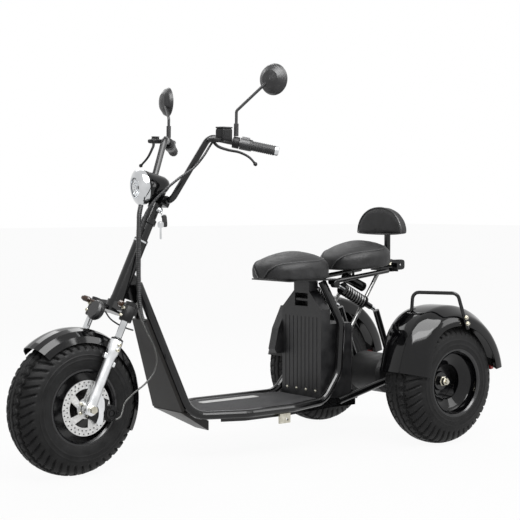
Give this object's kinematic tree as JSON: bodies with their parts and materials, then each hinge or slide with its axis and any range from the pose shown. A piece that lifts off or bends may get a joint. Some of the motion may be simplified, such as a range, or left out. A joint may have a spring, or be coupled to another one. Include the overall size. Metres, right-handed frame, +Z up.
{
  "type": "electric tricycle",
  "caption": "Step-through electric tricycle with a raked fork, wide tyres, a battery box under round seats with a backrest, and fendered rear wheels on a driven axle.",
  "frame": {"origin": "on the ground, under the middle of the box round the whole vehicle", "axes": "+X forward, +Y to the rider's left, +Z up"},
  "size_m": [1.8558, 0.8904, 1.345],
  "materials": {
    "black_paint": "gloss",
    "frame_paint": "gloss",
    "black_plastic": "matte",
    "battery_plastic": "matte",
    "seat_leather": "satin",
    "mat_rubber": "matte",
    "tyre_rubber": "matte",
    "fork_alloy": "satin",
    "chrome_trim": "polished",
    "disc_steel": "brushed",
    "zinc_steel": "zinc plated",
    "mirror_face": "polished",
    "lens_glass": "clear",
    "amber_lens": "gloss",
    "red_lens": "gloss",
    "grip_rubber": "matte"
  },
  "bodies": {
    "chassis": {"frame_neck": "frame_paint", "rails": "frame_paint", "leg_shield": "black_paint", "footboard": "frame_paint", "floor_mat": "mat_rubber", "battery_box": "battery_plastic", "battery_handle": "black_plastic", "controller_box": "black_plastic", "seat_frame": "frame_paint", "front_seat": "seat_leather", "rear_seat": "seat_leather", "backrest_post": "frame_paint", "backrest_pad": "seat_leather", "rear_subframe": "frame_paint", "motor": "frame_paint", "shocks": "frame_paint", "reserve_can": "black_plastic", "rear_fenders": "black_paint", "grab_rails": "frame_paint", "tail_lamps": "red_lens", "stand_bracket": "zinc_steel"},
    "steering": {"steerer": "frame_paint", "lower_clamp": "frame_paint", "stanchions": "chrome_trim", "sliders": "fork_alloy", "front_axle": "zinc_steel", "front_fender": "black_paint", "bar_clamp": "frame_paint", "handlebar": "frame_paint", "grips": "grip_rubber", "switch_pods": "black_plastic", "levers": "black_plastic", "mirrors": "black_plastic", "mirror_glass": "mirror_face", "headlight_shell": "black_plastic", "headlight_bezel": "chrome_trim", "headlight_lens": "lens_glass", "horn": "black_plastic", "indicators": "amber_lens", "caliper": "black_plastic"},
    "front_wheel": {"front_tyre": "tyre_rubber", "front_rim": "black_paint", "brake_disc": "disc_steel"},
    "rear_wheel_left": {"rear_tyre_left": "tyre_rubber", "rear_rim_left": "black_paint"},
    "rear_wheel_right": {"rear_tyre_right": "tyre_rubber", "rear_rim_right": "black_paint"}
  },
  "joints": [
    {"name": "steer", "type": "hinge", "parent": "chassis", "child": "steering", "pos_m": [0.68781, 0, 0.22495], "axis": [-0.4384, 0, 0.8988], "range_deg": [-38, 32]},
    {"name": "front_spin", "type": "hinge", "parent": "steering", "child": "front_wheel", "pos_m": [0.69499, 0.00042, 0.22845], "axis": [-0.047, 0.9986, -0.0229], "continuous": true},
    {"name": "rear_left_spin", "type": "hinge", "parent": "chassis", "child": "rear_wheel_left", "pos_m": [-0.653, 0.33, 0.2285], "axis": [0, 1, 0], "continuous": true},
    {"name": "rear_right_spin", "type": "hinge", "parent": "chassis", "child": "rear_wheel_right", "pos_m": [-0.653, -0.33, 0.2285], "axis": [0, 1, 0], "continuous": true}
  ]
}
